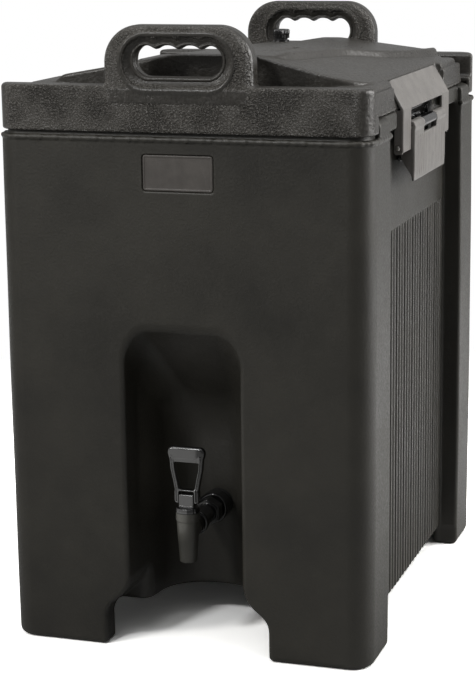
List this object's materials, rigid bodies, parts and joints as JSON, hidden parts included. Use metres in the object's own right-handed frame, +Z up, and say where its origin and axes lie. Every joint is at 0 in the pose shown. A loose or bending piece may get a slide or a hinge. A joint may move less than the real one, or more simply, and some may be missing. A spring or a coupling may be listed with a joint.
{
  "type": "insulated beverage dispenser",
  "caption": "Insulated box-shaped beverage dispenser with front alcove and gravity spigot, lift-off lid with carrying handles, vent cap and side draw latches.",
  "frame": {"origin": "on the floor, under the middle of the body", "axes": "+Z up, -Y towards the spigot side, +X towards the user's right hand facing the spigot"},
  "size_m": [0.405, 0.524, 0.6606],
  "materials": {
    "body_plastic": "satin",
    "lid_plastic": "satin",
    "latch_plastic": "satin",
    "black_gloss_plastic": "gloss",
    "spout_plastic": "satin",
    "label_plastic": "satin",
    "stainless": "satin",
    "rubber": "matte",
    "silicone": "matte",
    "foam": "matte"
  },
  "bodies": {
    "body": {"body_shell": "body_plastic", "tank_liner": "body_plastic", "foam_body": "foam", "foam_fill_plug": "black_gloss_plastic", "label_plate": "label_plastic", "spigot_body": "spout_plastic", "spigot_bonnet": "black_gloss_plastic", "handle_pin": "stainless", "valve_spring": "stainless", "shank_washer_outer": "rubber", "shank_washer_inner": "rubber", "shank_nut": "black_gloss_plastic", "latch_base_right": "black_gloss_plastic", "lever_pin_right": "stainless", "latch_screw_right_1": "stainless", "latch_screw_right_2": "stainless", "latch_screw_right_3": "stainless", "latch_screw_right_4": "stainless", "latch_base_left": "black_gloss_plastic", "lever_pin_left": "stainless", "latch_screw_left_1": "stainless", "latch_screw_left_2": "stainless", "latch_screw_left_3": "stainless", "latch_screw_left_4": "stainless"},
    "lid": {"lid_shell": "lid_plastic", "lid_foam": "foam", "lid_fill_plug": "black_gloss_plastic", "lid_gasket": "silicone", "vent_insert": "black_gloss_plastic", "vent_seal": "rubber"},
    "vent_cap": {"vent_cap": "black_gloss_plastic"},
    "lever_right": {"latch_lever_right": "latch_plastic", "bail_pin_right": "stainless"},
    "bail_right": {"latch_bail_right": "latch_plastic"},
    "lever_left": {"latch_lever_left": "latch_plastic", "bail_pin_left": "stainless"},
    "bail_left": {"latch_bail_left": "latch_plastic"},
    "spigot_handle": {"spigot_handle": "black_gloss_plastic"},
    "valve": {"valve_stem": "stainless", "seat_cup": "silicone"}
  },
  "joints": [
    {"name": "lid_lift", "type": "slide", "parent": "body", "child": "lid", "axis": [0, 0, 1], "range_m": [0, 0.06]},
    {"name": "lever_right_open", "type": "hinge", "parent": "body", "child": "lever_right", "pos_m": [0.1965, 0, 0.545], "axis": [0, -1, 0], "range_deg": [0, 110]},
    {"name": "bail_right_swing", "type": "hinge", "parent": "lever_right", "child": "bail_right", "pos_m": [0.192, 0, 0.5257], "axis": [0, 1, 0], "range_deg": [0, 135]},
    {"name": "lever_left_open", "type": "hinge", "parent": "body", "child": "lever_left", "pos_m": [-0.1965, 0, 0.545], "axis": [0, 1, 0], "range_deg": [0, 110]},
    {"name": "bail_left_swing", "type": "hinge", "parent": "lever_left", "child": "bail_left", "pos_m": [-0.192, 0, 0.5257], "axis": [0, -1, 0], "range_deg": [0, 135]},
    {"name": "vent_turn", "type": "hinge", "parent": "lid", "child": "vent_cap", "pos_m": [-0.019, 0.168, 0.62], "axis": [0, 0, 1], "range_deg": [0, 180]},
    {"name": "tap_tilt", "type": "hinge", "parent": "body", "child": "spigot_handle", "pos_m": [0, -0.247, 0.168], "axis": [1, 0, 0], "range_deg": [0, 40]},
    {"name": "valve_lift", "type": "slide", "parent": "body", "child": "valve", "axis": [0, 0, 1], "range_m": [0, 0.00501], "deforming": ["valve_spring"]}
  ],
  "couplings": [
    {"joint": "lever_right_open", "follows": "lid_lift", "rad_per_m": 31.99},
    {"joint": "bail_right_swing", "follows": "lid_lift", "rad_per_m": 39.26},
    {"joint": "lever_left_open", "follows": "lid_lift", "rad_per_m": 31.99},
    {"joint": "bail_left_swing", "follows": "lid_lift", "rad_per_m": 39.26},
    {"joint": "valve_lift", "follows": "tap_tilt", "m_per_rad": 0.00716}
  ]
}
